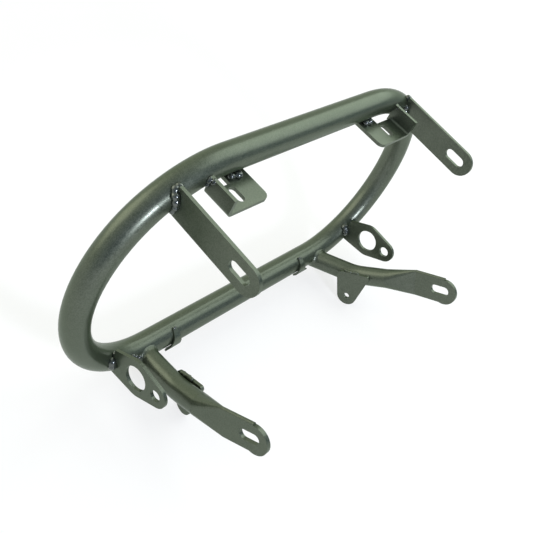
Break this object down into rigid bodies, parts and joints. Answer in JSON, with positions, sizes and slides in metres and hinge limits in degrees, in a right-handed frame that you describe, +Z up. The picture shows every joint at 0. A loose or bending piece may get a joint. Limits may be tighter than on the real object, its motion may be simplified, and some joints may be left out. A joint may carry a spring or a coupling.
{
  "type": "headlight bracket",
  "caption": "Closed loop of round tube that frames a pair of headlights, with slotted straps and flattened arms that bolt to a vehicle and drilled tabs for lamps.",
  "frame": {"origin": "middle of the bottom tube, on its centreline", "axes": "+X to the right seen from behind, +Y forward through the loop, +Z up"},
  "size_m": [0.4226, 0.1575, 0.2231],
  "materials": {
    "paint": "semi-gloss grey-green metallic paint"
  },
  "bodies": {
    "root": {"arm_tab_left": "paint", "arm_tab_right": "paint", "arm_weld_left": "paint", "arm_weld_right": "paint", "ear_weld_inner_left": "paint", "ear_weld_inner_right": "paint", "ear_weld_outer_left": "paint", "ear_weld_outer_right": "paint", "indicator_ear_left": "paint", "indicator_ear_right": "paint", "lamp_flange_weld_left": "paint", "lamp_flange_weld_right": "paint", "lamp_foot_weld_left": "paint", "lamp_foot_weld_right": "paint", "lamp_tab_left": "paint", "lamp_tab_right": "paint", "loop_tube": "paint", "lower_arm_left": "paint", "lower_arm_right": "paint", "strap_weld_inner_left": "paint", "strap_weld_inner_right": "paint", "strap_weld_outer_left": "paint", "strap_weld_outer_right": "paint", "upper_strap_left": "paint", "upper_strap_right": "paint", "wire_hook_left": "paint", "wire_hook_right": "paint"}
  },
  "joints": []
}
